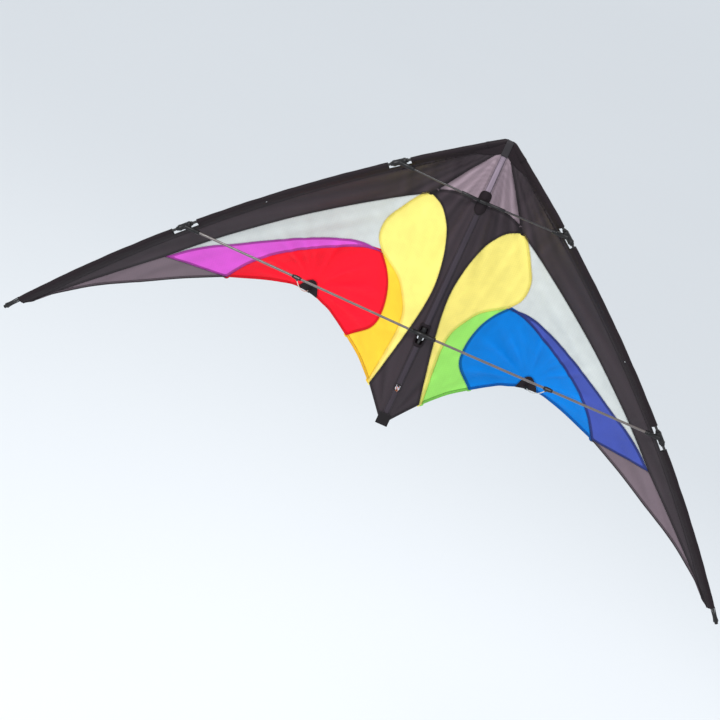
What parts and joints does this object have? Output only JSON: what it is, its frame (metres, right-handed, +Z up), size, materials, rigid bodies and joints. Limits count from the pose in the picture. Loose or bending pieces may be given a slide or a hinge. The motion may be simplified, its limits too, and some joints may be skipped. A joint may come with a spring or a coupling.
{
  "type": "delta kite",
  "caption": "Two-line delta sport kite: curved leading edges, spreaders and stand-offs hold a billowed sail of bright curved panels edged in black.",
  "frame": {"origin": "where the spine's axis passes the centre tee, at the height of the lower spreaders", "axes": "+Z up the spine to the nose, +X to the wing tip on the right when the spreaders face the viewer, +Y to the back of the sail"},
  "size_m": [1.7376, 0.1711, 0.8176],
  "materials": {
    "spine_tube": "satin carbon tube",
    "leading_tube": "satin carbon tube",
    "spreader_tube": "satin pultruded tube",
    "fibreglass": "translucent fibreglass rod",
    "ferrule": "drawn aluminium",
    "fitting": "moulded vinyl, satin",
    "black_fabric": "ripstop polyester, black",
    "webbing": "woven nylon webbing",
    "nose_fabric": "ripstop polyester, mauve grey",
    "tip_fabric": "ripstop polyester, dark grey",
    "silver_fabric": "ripstop polyester, light grey",
    "yellow_fabric": "ripstop polyester, yellow",
    "orange_fabric": "ripstop polyester, orange",
    "red_fabric": "ripstop polyester, red",
    "magenta_fabric": "ripstop polyester, magenta",
    "green_fabric": "ripstop polyester, light green",
    "blue_fabric": "ripstop polyester, blue",
    "indigo_fabric": "ripstop polyester, indigo",
    "tie_line": "braided line, mixed colours",
    "elastic_cord": "braided elastic cord"
  },
  "bodies": {
    "spine_frame": {"spine_rod": "spine_tube", "spine_pocket": "black_fabric", "spine_end_cap": "fitting", "nose_webbing": "webbing", "chafe_patch": "black_fabric", "spine_window_patch": "black_fabric", "centre_tee": "fitting", "upper_spreader_joiner": "fitting", "keel_tie_loop": "tie_line", "tail_patch": "black_fabric"},
    "tail_tab": {"tail_tab": "webbing"},
    "left_wing": {"left_nose_panel": "nose_fabric", "left_centre_panel": "black_fabric", "left_yellow_panel": "yellow_fabric", "left_orange_panel": "orange_fabric", "left_red_panel": "red_fabric", "left_magenta_panel": "magenta_fabric", "left_silver_panel": "silver_fabric", "left_leading_edge_panel": "black_fabric", "left_tip_panel": "tip_fabric", "left_leading_edge_sleeve": "black_fabric", "left_upper_leading_rod": "leading_tube", "left_lower_leading_rod": "leading_tube", "left_leading_rod_ferrule": "ferrule", "left_upper_connector": "fitting", "left_lower_connector": "fitting", "left_stopper_rings": "fitting", "left_lower_spreader_rod": "spreader_tube", "left_upper_spreader_rod": "spreader_tube", "left_trailing_edge_patch": "black_fabric", "left_stand_off_socket": "fitting", "left_tension_cord": "elastic_cord", "left_wing_tip_nock": "fitting"},
    "left_stand_off": {"left_stand_off_rod": "fibreglass", "left_stand_off_clip": "fitting"},
    "right_wing": {"right_nose_panel": "nose_fabric", "right_centre_panel": "black_fabric", "right_yellow_panel": "yellow_fabric", "right_green_panel": "green_fabric", "right_blue_panel": "blue_fabric", "right_indigo_panel": "indigo_fabric", "right_silver_panel": "silver_fabric", "right_leading_edge_panel": "black_fabric", "right_tip_panel": "tip_fabric", "right_leading_edge_sleeve": "black_fabric", "right_upper_leading_rod": "leading_tube", "right_lower_leading_rod": "leading_tube", "right_leading_rod_ferrule": "ferrule", "right_upper_connector": "fitting", "right_lower_connector": "fitting", "right_stopper_rings": "fitting", "right_lower_spreader_rod": "spreader_tube", "right_upper_spreader_rod": "spreader_tube", "right_trailing_edge_patch": "black_fabric", "right_stand_off_socket": "fitting", "right_tension_cord": "elastic_cord", "right_wing_tip_nock": "fitting"},
    "right_stand_off": {"right_stand_off_rod": "fibreglass", "right_stand_off_clip": "fitting"}
  },
  "joints": [
    {"name": "left_wing_fold", "type": "hinge", "parent": "spine_frame", "child": "left_wing", "pos_m": [0, 0, 0], "axis": [0, 0, -1], "range_deg": [0, 40]},
    {"name": "right_wing_fold", "type": "hinge", "parent": "spine_frame", "child": "right_wing", "pos_m": [0, 0, 0], "axis": [0, 0, 1], "range_deg": [0, 40]},
    {"name": "left_stand_off_swing", "type": "hinge", "parent": "left_wing", "child": "left_stand_off", "pos_m": [-0.29901, 0.00486, -0.00207], "axis": [-0.9989, 0.0463, -0.0069], "range_deg": [0, 100]},
    {"name": "right_stand_off_swing", "type": "hinge", "parent": "right_wing", "child": "right_stand_off", "pos_m": [0.29901, 0.00486, -0.00207], "axis": [-0.9989, -0.0463, 0.0069], "range_deg": [0, 100]},
    {"name": "tail_tab_open", "type": "hinge", "parent": "spine_frame", "child": "tail_tab", "pos_m": [0, -0.0064, -0.2322], "axis": [1, 0, 0], "range_deg": [0, 150]}
  ]
}
